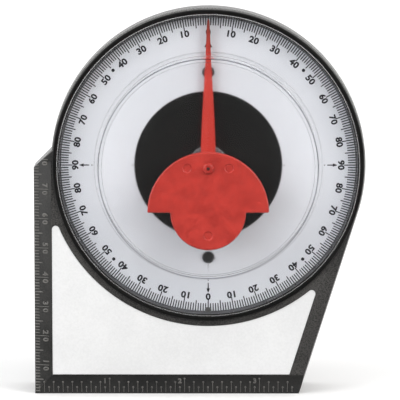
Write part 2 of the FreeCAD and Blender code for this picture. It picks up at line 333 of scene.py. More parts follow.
def surface(name, dark, light, roughness, grain, cloud, depth,
            metallic=0.0, gloss_spread=0.0, shine=0.5, speck=0.8):
    """Material whose tone, gloss and fine relief vary with the moulded grain. Lengths are in mm."""
    material, tree, shader = new_material(name)
    place = tree.nodes.new("ShaderNodeTexCoord")
    effect = tree.nodes.new("ShaderNodeGroup")
    effect.node_tree = moulded_grain
    effect.inputs["Grain"].default_value = 1.0 / (grain * MILLIMETRE)
    effect.inputs["Cloud"].default_value = 1.0 / (cloud * MILLIMETRE)
    effect.inputs["Speck"].default_value = speck
    tree.links.new(place.outputs["Object"], effect.inputs["Vector"])
    ramp = tree.nodes.new("ShaderNodeValToRGB")
    ramp.color_ramp.elements[0].position = 0.3
    ramp.color_ramp.elements[1].position = 0.7
    ramp.color_ramp.elements[0].color = (*dark, 1.0)
    ramp.color_ramp.elements[1].color = (*light, 1.0)
    tree.links.new(effect.outputs["Tone"], ramp.inputs["Fac"])
    tree.links.new(ramp.outputs["Color"], shader.inputs["Base Color"])
    low = roughness - gloss_spread
    gloss = maths(tree, "MULTIPLY_ADD", effect.outputs["Tone"], 2 * gloss_spread, low)
    tree.links.new(gloss, shader.inputs["Roughness"])
    bump = tree.nodes.new("ShaderNodeBump")
    bump.inputs["Distance"].default_value = depth * MILLIMETRE
    tree.links.new(effect.outputs["Height"], bump.inputs["Height"])
    tree.links.new(bump.outputs["Normal"], shader.inputs["Normal"])
    shader.inputs["Metallic"].default_value = metallic
    shader.inputs["Specular IOR Level"].default_value = shine
    return material


housing_grained = surface(
    "housing grained plastic", (0.006, 0.006, 0.006), (0.056, 0.053, 0.050), 0.46, 0.42, 40.0, 0.28,
    gloss_spread=0.08, speck=2.4,
)
housing_smooth = surface(
    "housing smooth plastic", (0.005, 0.005, 0.005), (0.009, 0.0088, 0.0085), 0.32, 0.8, 14.0, 0.010,
    gloss_spread=0.04, shine=0.25,
)
# Painted reflection: the well wall is coloured much lighter than the rest of the black moulding, for the
# white card mirrored in it. Its gloss is real.
well_wall_painted_reflection = surface(
    "well wall painted reflection", (0.050, 0.050, 0.053), (0.070, 0.070, 0.074), 0.22, 0.9, 14.0, 0.002,
    gloss_spread=0.02, shine=0.3,
)
housing_side = surface(
    "housing moulded side", (0.019, 0.018, 0.016), (0.040, 0.037, 0.032), 0.26, 0.5, 12.0, 0.03,
    gloss_spread=0.06, shine=0.6, speck=1.4,
)
# Painted light and shade: the two ruler bevels share one finish, coloured about twice as light on the left
# bevel, lit from the left, as on the lower bevel, which faces down into shade.
left_bevel_painted_light = surface(
    "left bevel painted light", (0.017, 0.017, 0.0165), (0.035, 0.034, 0.032), 0.40, 0.5, 16.0, 0.06,
    gloss_spread=0.06, speck=1.2,
)
low_bevel_painted_shade = surface(
    "lower bevel painted shade", (0.008, 0.008, 0.008), (0.017, 0.0165, 0.0155), 0.40, 0.5, 16.0, 0.06,
    gloss_spread=0.06, speck=1.2,
)


def section_round(depth, draft, width, reach, front, steps=4):
    """Rings that slope or round the outline's front or rear edge: a width inward, a reach along the side."""
    rings = []
    for step in range(steps + 1):
        turn = math.pi / 2 * step / steps
        inset = width * (1 - math.sin(turn))
        back = reach * (1 - math.cos(turn))
        rings.append(housing_ring(inset, draft, depth + back if front else depth - back))
    return rings if front else rings[::-1]


def arc_points(centre, radius, start, end, steps):
    """Points of an arc, with its angles in radians."""
    turns = [start + (end - start) * step / steps for step in range(steps + 1)]
    return [(centre[0] + radius * math.cos(turn), centre[1] + radius * math.sin(turn)) for turn in turns]


def label_body(gap, depth_from, depth_to):
    """Body with the label's outline, moved inward by a gap. Its two upper tips are rounded."""
    left = LEFT_X + LABEL_LEFT + gap
    low = LABEL_LOW + gap
    side = DRUM_RADIUS - FRONT_DRAFT - LABEL_RIGHT - gap
    arc = DRUM_RADIUS + LABEL_ARC_GAP + gap
    tip = LABEL_TIP_ROUND - gap
    drop = math.sqrt((arc + tip) ** 2 - (side - tip) ** 2)
    right_x = (side - tip) * math.cos(SLOPE) - drop * math.sin(SLOPE)
    right_z = -(side - tip) * math.sin(SLOPE) - drop * math.cos(SLOPE)
    left_z = -math.sqrt((arc + tip) ** 2 - (left + tip) ** 2)
    right_way = math.atan2(right_z, right_x)
    left_way = math.atan2(left_z, left + tip)
    corners = [(left, low), (slope_x(side, low), low)]
    corners += arc_points((right_x, AXIS_HEIGHT + right_z), tip, -SLOPE, right_way + math.pi, 12)
    corners += arc_points((0, AXIS_HEIGHT), arc, right_way, left_way, 90)[1:-1]
    corners += arc_points((left + tip, AXIS_HEIGHT + left_z), tip, left_way + math.pi, math.pi, 12)
    return prism(corners, depth_from, depth_to)


def build_housing():
    """Outer body, less its bevels, label pocket, dial well, hollow and holes, with the rim joined on."""
    rings = section_round(FLAT_DEPTH, FRONT_DRAFT, 0.42, 1.3, True, 1)
    rings.append(housing_ring(0.0, 0.0, PARTING_DEPTH))
    rings += section_round(HOUSING_DEPTH, REAR_DRAFT, 0.45, 0.45, False)
    shell = loft(rings)

    far = 2.0
    left_wedge = loft([
        [
            at(LEFT_X - far * LEFT_STRIP, BEVEL_DEPTH + far * (BEVEL_DEPTH - FLAT_DEPTH), z),
            at(LEFT_X + LEFT_STRIP, FLAT_DEPTH, z),
            at(LEFT_X + LEFT_STRIP, -far, z),
            at(LEFT_X - far * LEFT_STRIP, -far, z),
        ]
        for z in (-far, AXIS_HEIGHT + 10)
    ])
    carve(left_wedge, disc(DRUM_RADIUS - FRONT_DRAFT, -10, 20, steps=360))
    carve(shell, left_wedge)
    low_wedge = loft([
        [
            at(x, BEVEL_DEPTH + far * (BEVEL_DEPTH - FLAT_DEPTH), -far * BOTTOM_STRIP),
            at(x, FLAT_DEPTH, BOTTOM_STRIP),
            at(x, -far, BOTTOM_STRIP),
            at(x, -far, -far * BOTTOM_STRIP),
        ]
        for x in (LEFT_X - 10, 60)
    ])
    carve(shell, low_wedge)
    carve(shell, label_body(0.0, FLAT_DEPTH - 2, FLAT_DEPTH + LABEL_POCKET_DEPTH))

    rough_bore = 49.0
    rim_foot = FLAT_DEPTH + 3
    rim_profile = rounded(
        [(rough_bore, rim_foot), (rough_bore, 0.0), (RIM_RADIUS, 0.0), (RIM_RADIUS, FLAT_DEPTH + 0.6),
         (RIM_RADIUS - 1.5, rim_foot)],
        [0, 0, RIM_ROUND, 0, 0], 7,
    )
    carve(shell, lathe(rim_profile, steps=360, closed=True), "UNION")
    seat = LENS_RADIUS + 0.1
    mouth = seat + 0.3
    well = [
        (0, -5), (mouth, -5), (mouth, 0.0), (seat, 0.35), (seat, LENS_SEAT_DEPTH),
        (WELL_FRONT_RADIUS, LENS_SEAT_DEPTH), (WELL_BACK_RADIUS, FLOOR_DEPTH - 0.4),
        (WELL_BACK_RADIUS, FLOOR_DEPTH), (0, FLOOR_DEPTH),
    ]
    carve(shell, lathe(well, steps=360))

    cavity = loft([housing_ring(WALL, REAR_DRAFT, depth) for depth in (3.3, COVER_DEPTH + 1)])
    carve(cavity, disc(WELL_FRONT_RADIUS + WALL, 0.0, FLOOR_BACK))
    carve(cavity, prism(rectangle(-70, 60, -5, BASE_FLOOR), 0, 30))
    for x, z in SCREW_PLACES:
        carve(cavity, disc(POST_RADIUS, 0.0, COVER_DEPTH, x, z, 48))
    carve(cavity, disc(BOSS_RADIUS, 0.0, FLOOR_BACK + BOSS_REACH, steps=64))
    holder = rectangle(POLE_X[0] - HOLDER_WALL, POLE_X[1] + HOLDER_WALL, 0, HOLDER_TOP)
    carve(cavity, prism(holder, POLE_DEPTHS[0][0] - HOLDER_WALL, POLE_DEPTHS[1][1] + HOLDER_WALL))
    carve(shell, cavity)
    carve(shell, loft([housing_ring(COVER_INSET, REAR_DRAFT, depth) for depth in (COVER_DEPTH, 30)]))
    magnet_room = rectangle(POLE_X[0] + 1, POLE_X[1] - 1, BASE_FLOOR, HOLDER_TOP + 1)
    carve(shell, prism(magnet_room, POLE_DEPTHS[0][1] - 0.1, POLE_DEPTHS[1][0] + 0.1))
    pole_slot = rectangle(POLE_X[0] - POLE_GAP, POLE_X[1] + POLE_GAP, -2, POLE_SLOT_TOP)
    for front, back in POLE_DEPTHS:
        carve(shell, prism(pole_slot, front - POLE_GAP, back + POLE_GAP))
    for x, z in SCREW_PLACES:
        carve(shell, disc(PILOT_RADIUS, PILOT_START, COVER_DEPTH + 2, x, z, 40))
    carve(shell, disc(STEM_HOLE_RADIUS, FLOOR_DEPTH - 1, STEM_BACK, steps=64))
    carve(shell, disc(PILOT_RADIUS, FLOOR_DEPTH, PIN_BACK, steps=48))
    return round_edges(shell, 0.22)


def finish_of(face):
    """Finish of a face: 0 grained, 1 smooth, 2 wall of the dial well (painted reflection), 3 side, 4 left
    bevel (painted light), 5 lower bevel (painted shade).
    """
    x, y, z = face.center / MILLIMETRE
    radius = math.hypot(x, z - AXIS_HEIGHT)
    depth = y - FRONT_Y
    looks_front = face.normal.y < -0.9
    if looks_front and abs(depth - FLAT_DEPTH) < 0.04:
        return 0
    if looks_front and face.normal.y > -0.985 and FLAT_DEPTH < depth < BEVEL_DEPTH and radius > RIM_RADIUS:
        return 4 if face.normal.x < -0.1 else 5
    if WELL_BACK_RADIUS - 0.3 < radius < WELL_FRONT_RADIUS + 0.1 and LENS_SEAT_DEPTH < depth < FLOOR_DEPTH:
        return 2
    if radius < RIM_RADIUS + 0.02 and depth < FLAT_DEPTH - 0.03:
        return 1
    if abs(face.normal.y) < 0.85 and depth > FLAT_DEPTH + 0.1 and (radius > RIM_RADIUS or z < 30):
        return 3 if abs(face.normal.x) < 0.8 or x > LEFT_X + 8 or depth > BEVEL_DEPTH else 0
    return 1 if radius < LENS_RADIUS + 0.3 and depth < FLOOR_DEPTH + 0.1 else 0


housing = finish_piece(
    build_housing(), "housing",
    [housing_grained, housing_smooth, well_wall_painted_reflection, housing_side, left_bevel_painted_light, low_bevel_painted_shade],
    "body", ["housing_shell"],
)
for face in housing.data.polygons:
    face.material_index = finish_of(face)

# Ruler marks: raised lines, dots and numbers of the same moulding, on the two bevelled edges. The left edge
# reads millimetres and the bottom edge reads inches in sixteenths, both from the lower left corner.
MARK_RISE = 0.2
MARK_ROOT = -0.06
ONE_LINE, FIVE_LINE, TEN_LINE = 1.9, 3.1, 5.2
SIXTEENTH_LINE, EIGHTH_LINE, INCH_LINE = 2.45, 4.4, 5.75
left_normal = Vector((FLAT_DEPTH - BEVEL_DEPTH, -LEFT_STRIP, 0)).normalized()
left_across = Vector((LEFT_STRIP, FLAT_DEPTH - BEVEL_DEPTH, 0)).normalized()
low_normal = Vector((0, -BOTTOM_STRIP, FLAT_DEPTH - BEVEL_DEPTH)).normalized()
low_up = Vector((0, FLAT_DEPTH - BEVEL_DEPTH, BOTTOM_STRIP)).normalized()


def on_left(across, height):
    """Point of the left bevel at a distance from the edge and a height above the base."""
    return at(LEFT_X, BEVEL_DEPTH, height) + left_across * across


def on_bottom(along, up):
    """Point of the bottom bevel at a distance from the left corner, and up the bevel."""
    return at(LEFT_X + along, BEVEL_DEPTH, 0) + low_up * up


def ridge(mesh, start, end, width, rise, normal):
    """Raised line with sloping flanks between two points of a face."""
    along = (end - start).normalized()
    side = normal.cross(along)
    rows = []
    for point, way in ((start, 1), (end, -1)):
        for level, half, inset in ((MARK_ROOT, width / 2, 0.0), (rise, width * 0.28, width * 0.22)):
            base = point + normal * level + along * inset * way
            rows.append([mesh.verts.new(base - side * half), mesh.verts.new(base + side * half)])
    low_a, top_a, low_b, top_b = rows
    for quad in (
        (low_a[0], low_a[1], top_a[1], top_a[0]), (low_b[0], low_b[1], top_b[1], top_b[0]),
        (top_a[0], top_a[1], top_b[1], top_b[0]), (low_a[0], low_a[1], low_b[1], low_b[0]),
        (low_a[0], top_a[0], top_b[0], low_b[0]), (low_a[1], top_a[1], top_b[1], low_b[1]),
    ):
        mesh.faces.new(quad)


def stud(mesh, centre, radius, rise, normal, steps=12):
    """Low round dot on a face."""
    side = normal.cross(Vector((0.3, 0.2, 0.9))).normalized()
    other = normal.cross(side)
    rows = []
    for share, level in ((1.0, MARK_ROOT), (1.0, rise * 0.35), (0.72, rise * 0.85), (0.35, rise)):
        row = []
        for step in range(steps):
            turn = 2 * math.pi * step / steps
            spoke = side * math.cos(turn) + other * math.sin(turn)
            row.append(mesh.verts.new(centre + spoke * radius * share + normal * level))
        rows.append(row)
    for near, far in zip(rows, rows[1:]):
        for start in range(steps):
            end = (start + 1) % steps
            mesh.faces.new((near[start], near[end], far[end], far[start]))
    mesh.faces.new(rows[0])
    mesh.faces.new(rows[-1])


glyph_store = {}


def glyph(text, spacing):
    """Corners and faces of a number, one unit high and one unit thick, centred on its middle."""
    if (text, spacing) not in glyph_store:
        curve = bpy.data.curves.new("number", "FONT")
        curve.body = text
        curve.extrude = 0.5
        curve.resolution_u = 4
        curve.offset = 0.042
        curve.space_character = spacing
        holder = bpy.data.objects.new("number", curve)
        bpy.context.scene.collection.objects.link(holder)
        mesh = settle_text(holder)
        low = [min(v.co[i] for v in mesh.vertices) for i in range(3)]
        high = [max(v.co[i] for v in mesh.vertices) for i in range(3)]
        tall = high[1] - low[1]
        points = [
            Vector((
                (v.co.x - (low[0] + high[0]) / 2) / tall,
                (v.co.y - (low[1] + high[1]) / 2) / tall,
                v.co.z,
            ))
            for v in mesh.vertices
        ]
        glyph_store[text, spacing] = (points, [tuple(face.vertices) for face in mesh.polygons])
        bpy.data.objects.remove(holder)
    return glyph_store[text, spacing]


def settle_text(holder):
    """Mesh of a text object, with the points of its faces joined."""
    graph = bpy.context.evaluated_depsgraph_get()
    mesh = bpy.data.meshes.new_from_object(holder.evaluated_get(graph))
    joined = bmesh.new()
    joined.from_mesh(mesh)
    bmesh.ops.remove_doubles(joined, verts=joined.verts, dist=1e-5)
    joined.to_mesh(mesh)
    joined.free()
    return mesh


def number(mesh, text, centre, across, up, height, low, high, width=1.0, spacing=1.0):
    """Adds a number that stands between two levels of a face."""
    points, faces = glyph(text, spacing)
    normal = across.cross(up)
    made = []
    for point in points:
        level = high if point.z > 0 else low
        spot = centre + across * point.x * height * width + up * point.y * height + normal * level
        made.append(mesh.verts.new(spot))
    for face in faces:
        mesh.faces.new([made[index] for index in face])


def build_left_ruler():
    marks = bmesh.new()
    for millimetre in range(1, 81):
        height = float(millimetre)
        length = TEN_LINE if millimetre % 10 == 0 else FIVE_LINE if millimetre % 5 == 0 else ONE_LINE
        beyond = max(0.0, height - (AXIS_HEIGHT - SHOULDER_BELOW_AXIS) + 0.5)
        width = 0.34 if millimetre % 10 == 0 else 0.5
        if beyond < length - 0.5:
            start, end = on_left(0.12 + beyond, height), on_left(length, height)
            ridge(marks, start, end, width, MARK_RISE, left_normal)
    down = Vector((0, 0, -1))
    for ten in range(10, 81, 10):
        text = str(ten)
        for digit, offset in ((text[0], 1.25), (text[1], -1.25)):
            if ten + offset > AXIS_HEIGHT + 1:
                continue
            number(marks, digit, on_left(4.1, ten + offset), down, left_across, 2.05, MARK_ROOT, MARK_RISE)
    return work_object(marks)


def build_bottom_ruler():
    marks = bmesh.new()
    sixteenth = 25.4 / 16
    right = Vector((1, 0, 0))
    for count in range(1, 56):
        along = count * sixteenth
        top = INCH_LINE if count % 16 == 0 else EIGHTH_LINE if count % 2 == 0 else SIXTEENTH_LINE
        dot = top - (0.1 if count % 16 == 0 else 0.05)
        ridge(marks, on_bottom(along, 0.55), on_bottom(along, top), 0.24, MARK_RISE * 0.7, low_normal)
        stud(marks, on_bottom(along, dot), 0.34, MARK_RISE * 1.3, low_normal)
        if count % 16 == 0:
            spot = on_bottom(along - 1.6, 4.85)
            number(marks, str(count // 16), spot, right, low_up, 1.9, MARK_ROOT, MARK_RISE)
    return work_object(marks)


# Painted highlight: the marks are of the same moulding as the housing, but are coloured several times lighter
# for the light that their raised shapes catch.
ruler_marks_painted_light = surface(
    "ruler marks painted light", (0.085, 0.083, 0.078), (0.140, 0.135, 0.126), 0.34, 0.5, 6.0, 0.02,
    gloss_spread=0.05,
)
finish_piece(build_left_ruler(), "millimetre_marks", [ruler_marks_painted_light], "body")
finish_piece(build_bottom_ruler(), "inch_marks", [ruler_marks_painted_light], "body")

# Dial card: a thin white card on the floor of the drum, with a large round hole in its middle. Two black
# pegs of the housing hold it by its holes, and a pip, whose grey is painted reflection of the lens, keeps it
# from turning.
CARD_FRONT = 3.9
CARD_RADIUS = 49.7
CARD_HOLE = 24.95
PEG_OFFSET = 31.35
PEG_RADIUS = 2.0
PIP_OFFSET = 49.4
PIP_RADIUS = 1.05
HOLE_GAP = 0.05


def build_card():
    seam = (CARD_HOLE, CARD_FRONT + 0.2)
    profile = rounded(
        [seam, (CARD_HOLE, CARD_FRONT), (CARD_RADIUS, CARD_FRONT), (CARD_RADIUS, FLOOR_DEPTH),
         (CARD_HOLE, FLOOR_DEPTH), seam],
        [0, 0.12, 0.08, 0.05, 0.05, 0], 3,
    )
    card = lathe(profile[:-1], steps=256, closed=True)
    for side in (-1, 1):
        carve(card, disc(PEG_RADIUS + HOLE_GAP, 2, 6, 0, AXIS_HEIGHT + side * PEG_OFFSET, 48))
    return carve(card, disc(PIP_RADIUS + HOLE_GAP, 2, 6, 0, AXIS_HEIGHT - PIP_OFFSET, 40))


def build_peg(radius, front, z):
    root = FLOOR_DEPTH + 0.05
    profile = rounded([(0, front), (radius, front), (radius, root), (0, root)], [0, 0.35, 0, 0], 4)
    return lathe(profile, 0, z, 48)


card_white = surface(
    "dial card", (0.695, 0.71, 0.755), (0.725, 0.74, 0.78), 0.55, 0.6, 30.0, 0.004,
    gloss_spread=0.04, shine=0.3,
)
peg_black = surface("dial peg", (0.010, 0.010, 0.010), (0.018, 0.018, 0.018), 0.34, 0.5, 4.0, 0.01)
# Painted reflection: the pip's grey tone stands in for the lens reflecting over it.
pip_painted_reflection = surface("dial pip", (0.07, 0.07, 0.07), (0.10, 0.10, 0.10), 0.4, 0.5, 2.0, 0.01)
finish_piece(build_card(), "dial_face", [card_white], "body", ["dial_card"])
for count, side in enumerate((1, -1), 1):
    peg = build_peg(PEG_RADIUS, CARD_FRONT - 0.6, AXIS_HEIGHT + side * PEG_OFFSET)
    finish_piece(peg, f"dial_peg_{count}", [peg_black], "body")
pip = build_peg(PIP_RADIUS, CARD_FRONT - 0.9, AXIS_HEIGHT - PIP_OFFSET)
finish_piece(pip, "dial_pip", [pip_painted_reflection], "body")

# Dial print: black ink on the card. A line for each degree, longer at fives and tens, numbers from 0 to 90
# both ways, a dot at 45 degrees in each quarter, and an arrow at each quarter turn.
INK_BACK = CARD_FRONT + 0.01
INK_FRONT = CARD_FRONT - 0.03
TEN_START, FIVE_START, ONE_START, TICK_END = 45.7, 46.2, 47.1, 49.65
NUMBER_RADIUS = 44.8
NUMBER_HEIGHT = 2.3
QUARTER_DOT_RADIUS = 45.2
ARROW_TAIL, ARROW_NECK, ARROW_TIP = 40.1, 42.0, 43.4


def spoke(angle):
    """Direction (x, z) from the dial's centre. The angle is in degrees clockwise from the top."""
    turn = math.radians(angle)
    return Vector((math.sin(turn), math.cos(turn)))


def ink_shape(mesh, corners):
    """Flat patch of ink with (x, z) corners in the order seen from the front."""
    front = [mesh.verts.new(at(x, INK_FRONT, z)) for x, z in corners]
    back = [mesh.verts.new(at(x, INK_BACK, z)) for x, z in corners]
    mesh.faces.new(front)
    mesh.faces.new(back)
    for start in range(len(corners)):
        end = (start + 1) % len(corners)
        mesh.faces.new((front[start], front[end], back[end], back[start]))


def ink_ray(mesh, angle, inner, outer, inner_width, outer_width):
    """Straight stroke of ink along a radius."""
    out = spoke(angle)
    side = Vector((out.y, -out.x))
    centre = Vector((0, AXIS_HEIGHT))
    ends = (inner, -inner_width), (outer, -outer_width), (outer, outer_width), (inner, inner_width)
    ink_shape(mesh, [tuple(centre + out * radius + side * width / 2) for radius, width in ends])


def ink_dot(mesh, angle, radius, size, steps=24):
    """Round dot of ink."""
    x, z = spoke(angle) * radius + Vector((0, AXIS_HEIGHT))
    ring = [2 * math.pi * step / steps for step in range(steps)]
    ink_shape(mesh, [(x + size * math.cos(step), z + size * math.sin(step)) for step in ring])


def build_scale():
    ink = bmesh.new()
    for degree in range(360):
        start = TEN_START if degree % 10 == 0 else FIVE_START if degree % 5 == 0 else ONE_START
        ink_ray(ink, degree, start, TICK_END, 0.34, 0.36)
    for degree in range(0, 360, 10):
        value = min(degree % 180, 180 - degree % 180)
        out = spoke(degree)
        up = Vector((out.x, 0, out.y))
        across = Vector((out.y, 0, -out.x))
        spot = at(0, CARD_FRONT, AXIS_HEIGHT) + up * NUMBER_RADIUS
        number(ink, str(value), spot, across, up, NUMBER_HEIGHT, -0.01, 0.03, 1.1, 1.06)
    for degree in (45, 135, 225, 315):
        ink_dot(ink, degree, QUARTER_DOT_RADIUS, 0.58)
    for degree in (0, 90, 180, 270):
        ink_ray(ink, degree, ARROW_NECK, ARROW_TIP, 1.15, 0.14)
        ink_ray(ink, degree, ARROW_TAIL, ARROW_NECK, 0.34, 0.42)
        ink_dot(ink, degree, 39.2, 0.2)
        ink_ray(ink, degree, CARD_HOLE, 26.2, 0.16, 0.1)
    ink_ray(ink, 180, 33.7, 36.0, 0.16, 0.06)
    ink_ray(ink, 0, 39.7, 41.6, 2.7, 0.7)
    return work_object(ink)


ink_black = surface("dial ink", (0.008, 0.008, 0.012), (0.014, 0.014, 0.020), 0.5, 0.4, 8.0, 0.003, shine=0.3)
finish_piece(build_scale(), "dial_print", [ink_black], "body")

# Pivot: a grey flanged bearing block pressed into the drum's floor, the stepped steel pin that it holds,
# and the brass bush of the pendulum, which runs on the pin.
FLANGE_RADIUS = 6.6
FLANGE_FRONT = 3.1
STEM_RADIUS = 3.0

flange_grey = surface(
    "bearing flange", (0.16, 0.16, 0.165), (0.24, 0.24, 0.245), 0.42, 0.3, 5.0, 0.01, metallic=0.4
)
pin_steel = surface(
    "pivot pin steel", (0.34, 0.34, 0.35), (0.42, 0.42, 0.43), 0.34, 0.2, 3.0, 0.004, metallic=1.0
)
bush_brass = surface(
    "bush brass", (0.60, 0.44, 0.18), (0.74, 0.57, 0.27), 0.30, 0.2, 3.0, 0.004, metallic=1.0
)


def dress(node, material):
    """Gives a CAD node its material."""
    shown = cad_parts[node]
    shown.data.materials.clear()
    shown.data.materials.append(material)


flange_profile = rounded(
    [(PILOT_RADIUS, FLANGE_FRONT), (FLANGE_RADIUS, FLANGE_FRONT), (FLANGE_RADIUS, FLOOR_DEPTH),
     (STEM_RADIUS, FLOOR_DEPTH), (STEM_RADIUS, STEM_BACK), (PILOT_RADIUS, STEM_BACK)],
    [0, 0.3, 0, 0, 0, 0], 4,
)
flange = round_edges(lathe(flange_profile, steps=96, closed=True), 0.06, 2)
finish_piece(flange, "bearing_flange", [flange_grey], "body", ["axle_flange"])
dress("pivot_axle", pin_steel)
dress("hub_bush", bush_brass)

# Pendulum plate: red moulded plastic, a half disc with a smaller half disc below it. It has a small dome
# with a hole at the pivot, a rounded edge, and the faint round marks of its ejector pins.
PLATE_FRONT = -8.05
PLATE_BACK = -5.55
PLATE_UPPER = 20.3
PLATE_LOWER = 12.6
PLATE_CENTRE = AXIS_HEIGHT - 14.85
HUB_RADIUS = 4.2
HUB_BACK = 1.4
BUSH_HOLE_RADIUS = 2.02
PIN_END_RADIUS = 0.8
DOME_HOLE_RADIUS = 0.55
SLUG_CENTRE = AXIS_HEIGHT - 17.0
SLUG_THICKNESS = 4.0
STAKE_RADIUS = 1.5
EJECTOR_MARKS = ((-7.0, 0.1), (7.0, 0.1), (0.0, -22.6))


def build_plate():
    """Plate with its pivot dome, the hub and stake on its back, the pin's hole and the ejector marks."""
    outline = arc_points((0, PLATE_CENTRE), PLATE_UPPER, 0.0, math.pi, 96)
    outline += arc_points((0, PLATE_CENTRE), PLATE_LOWER, math.pi, 2 * math.pi, 72)
    plate = prism(outline, PLATE_FRONT, PLATE_BACK)
    round_edges(plate, 0.5, 4)
    settle(plate)
    crown, foot = PLATE_FRONT - 0.9, PLATE_FRONT + 0.4
    dome = rounded([(0, crown), (1.75, crown), (2.0, foot), (0, foot)], [0, 0.8, 0, 0], 6)
    carve(plate, lathe(dome, steps=64), "UNION")
    root = PLATE_BACK - 0.5
    carve(plate, disc(HUB_RADIUS, root, HUB_BACK, steps=64), "UNION")
    carve(plate, disc(STAKE_RADIUS, root, PLATE_BACK + SLUG_THICKNESS, 0, SLUG_CENTRE, 48), "UNION")
    carve(plate, disc(BUSH_HOLE_RADIUS, PLATE_FRONT + 1.6, 3.0, steps=64))
    carve(plate, disc(PIN_END_RADIUS, PLATE_FRONT + 0.3, 0.0, steps=48))
    carve(plate, disc(DOME_HOLE_RADIUS, PLATE_FRONT - 3, 0.0, steps=32))
    lip, bed = PLATE_FRONT - 0.14, PLATE_FRONT + 0.3
    for x, z in EJECTOR_MARKS:
        carve(plate, lathe([(0, lip), (1.75, lip), (1.25, bed), (0, bed)], x, AXIS_HEIGHT + z, 48))
    plate.data.set_sharp_from_angle(angle=math.radians(35))
    return plate


plate_red = surface(
    "pendulum red plastic", (0.41, 0.028, 0.020), (0.59, 0.045, 0.032), 0.36, 0.8, 5.0, 0.008,
    gloss_spread=0.05, shine=0.35,
)
finish_piece(build_plate(), "pendulum", [plate_red], "pointer", ["pendulum_plate"])

# Needle: red moulded plastic, tapering to a point, with a low ridge along its middle. It sits on the bush
# behind the pendulum plate and turns with it.
NEEDLE_FRONT = 1.4
NEEDLE_BACK = 2.6
NEEDLE_STATIONS = (
    (3.8, 2.5), (15.0, 2.1), (22.0, 1.68), (35.5, 0.94), (45.4, 0.57), (48.4, 0.40), (49.3, 0.15),
)
NEEDLE_HUB_RADIUS = 4.5
TIP_SHADE_FROM, TIP_SHADE_TO = 36.0, 49.0


def build_needle():
    """Blade through its stations, each a height above the pin and half a width, with its round hub."""
    blade = []
    for height, half in NEEDLE_STATIONS:
        edge = NEEDLE_FRONT + 0.2 * half
        blade.append([
            at(-half, NEEDLE_BACK, AXIS_HEIGHT + height),
            at(half, NEEDLE_BACK, AXIS_HEIGHT + height),
            at(half, edge, AXIS_HEIGHT + height),
            at(0, NEEDLE_FRONT, AXIS_HEIGHT + height),
            at(-half, edge, AXIS_HEIGHT + height),
        ])
    needle = loft(blade)
    carve(needle, disc(NEEDLE_HUB_RADIUS, NEEDLE_FRONT, NEEDLE_BACK, steps=96), "UNION")
    carve(needle, disc(BUSH_HOLE_RADIUS, 0, 5, steps=48))
    return round_edges(needle, 0.12, 2, 20.0)


needle_red = surface(
    "needle red plastic", (0.50, 0.032, 0.022), (0.60, 0.046, 0.030), 0.34, 0.8, 10.0, 0.006,
    gloss_spread=0.04, shine=0.35,
)


def own_place(tree):
    """Sockets for a point in the object's own frame, and for its X, Y and Z."""
    place = tree.nodes.new("ShaderNodeTexCoord")
    apart = tree.nodes.new("ShaderNodeSeparateXYZ")
    tree.links.new(place.outputs["Object"], apart.inputs[0])
    return place.outputs["Object"], *apart.outputs


def carry_range(tree, value, from_low, from_high, to_low=0.0, to_high=1.0):
    """Carries a value from one range to another, and holds it at the ends."""
    node = tree.nodes.new("ShaderNodeMapRange")
    limits = {"From Min": from_low, "From Max": from_high, "To Min": to_low, "To Max": to_high}
    for socket, limit in limits.items():
        node.inputs[socket].default_value = limit
    tree.links.new(value, node.inputs["Value"])
    return node.outputs["Result"]


def mix_colours(tree, share, first, second):
    """Mix of two colours. Each is a socket or a value."""
    node = tree.nodes.new("ShaderNodeMix")
    node.data_type = "RGBA"
    tree.links.new(share, node.inputs[0])
    for socket, colour in ((node.inputs[6], first), (node.inputs[7], second)):
        if isinstance(colour, tuple):
            socket.default_value = (*colour, 1.0)
        else:
            tree.links.new(colour, socket)
    return node.outputs[2]


def darken_tip(material, from_height, to_height):
    """Paints shade into a material's colour, darker towards the needle's tip, for the rim's shade over it."""
    tree = material.node_tree
    base = tree.nodes["Principled BSDF"].inputs["Base Color"]
    height = own_place(tree)[3]
    low, high = (AXIS_HEIGHT + from_height) * MILLIMETRE, (AXIS_HEIGHT + to_height) * MILLIMETRE
    share = carry_range(tree, height, low, high, to_high=0.8)
    tree.links.new(mix_colours(tree, share, base.links[0].from_socket, (0.10, 0.035, 0.022)), base)


# Painted shade: the needle's colour darkens towards its tip.
darken_tip(needle_red, TIP_SHADE_FROM, TIP_SHADE_TO)
finish_piece(build_needle(), "needle", [needle_red], "pointer", ["pointer_needle"])

# Ballast: a turned slug of zinc-plated steel behind the lower half of the pendulum plate, so that the needle
# stays up. A stake of the plate goes through its hole and holds it.
SLUG_RADIUS = 9.0
SLUG_HOLE_RADIUS = 1.52
SLUG_BACK = PLATE_BACK + SLUG_THICKNESS

slug_steel = surface(
    "ballast steel", (0.34, 0.34, 0.35), (0.44, 0.44, 0.45), 0.38, 0.3, 4.0, 0.01, metallic=1.0
)
slug_profile = [
    (SLUG_HOLE_RADIUS, PLATE_BACK), (SLUG_RADIUS, PLATE_BACK), (SLUG_RADIUS, SLUG_BACK),
    (SLUG_HOLE_RADIUS, SLUG_BACK),
]
slug = round_edges(lathe(slug_profile, 0, SLUG_CENTRE, 96, closed=True), 0.3)
finish_piece(slug, "ballast_slug", [slug_steel], "pointer", ["ballast_weight"])

# Lens: clear moulded acrylic, a flat ring over the scale and a raised middle that makes room for the
# pendulum. It is glued into a ledge inside the rim, and all its corners are rounded by the mould.
DOME_FRONT = -10.8
DOME_INSIDE = -9.4
LENS_FRONT = -0.6
DOME_TOP_RADIUS = 36.7
DOME_FOOT_RADIUS = 38.2
DOME_INNER_TOP_RADIUS = 35.5
DOME_INNER_FOOT_RADIUS = 37.0


